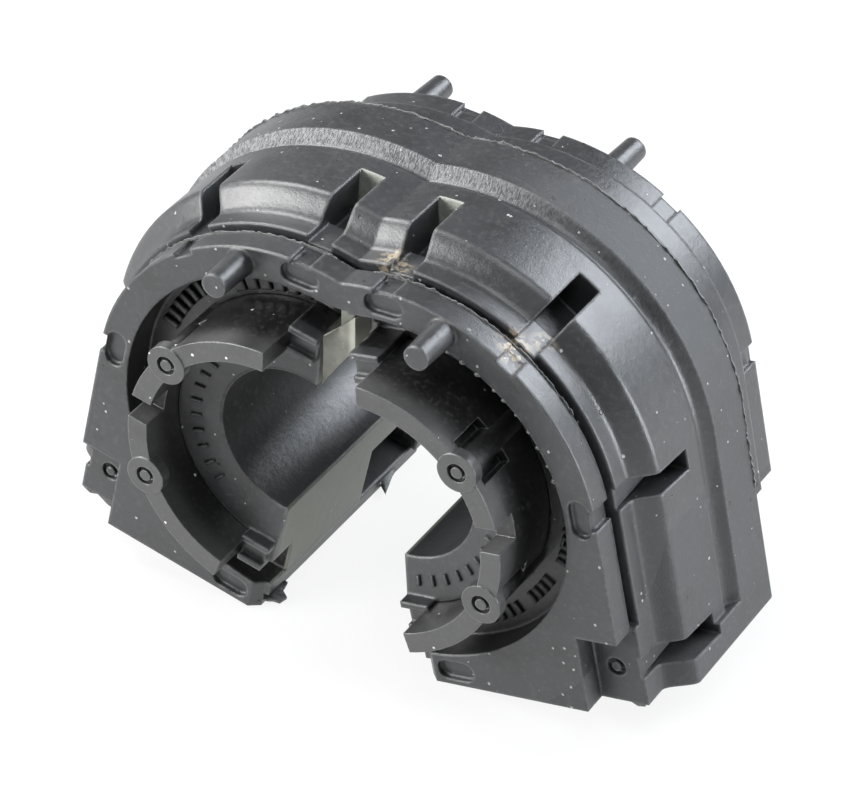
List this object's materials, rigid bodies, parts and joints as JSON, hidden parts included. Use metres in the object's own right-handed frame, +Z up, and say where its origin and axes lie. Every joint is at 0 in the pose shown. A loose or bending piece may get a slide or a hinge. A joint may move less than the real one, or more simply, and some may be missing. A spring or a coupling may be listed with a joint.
{
  "type": "sway bar bushing",
  "caption": "Clamshell rubber bushing of two halves joined by a web, with a half bore, a stiff half shell, banded outer wall and end flanges on each half.",
  "frame": {"origin": "centre of the bounding box, on the surface that the open bushing stands on", "axes": "+X from the left half to the right half, +Y along the bar from the pictured end to the far end, +Z up"},
  "size_m": [0.1068, 0.065, 0.0712],
  "materials": {
    "rubber": "satin moulded rubber with mould residue",
    "shell": "satin glass-filled plastic"
  },
  "bodies": {
    "root": {"rubber_body": "rubber", "left_shell": "shell", "right_shell": "shell"}
  },
  "joints": []
}
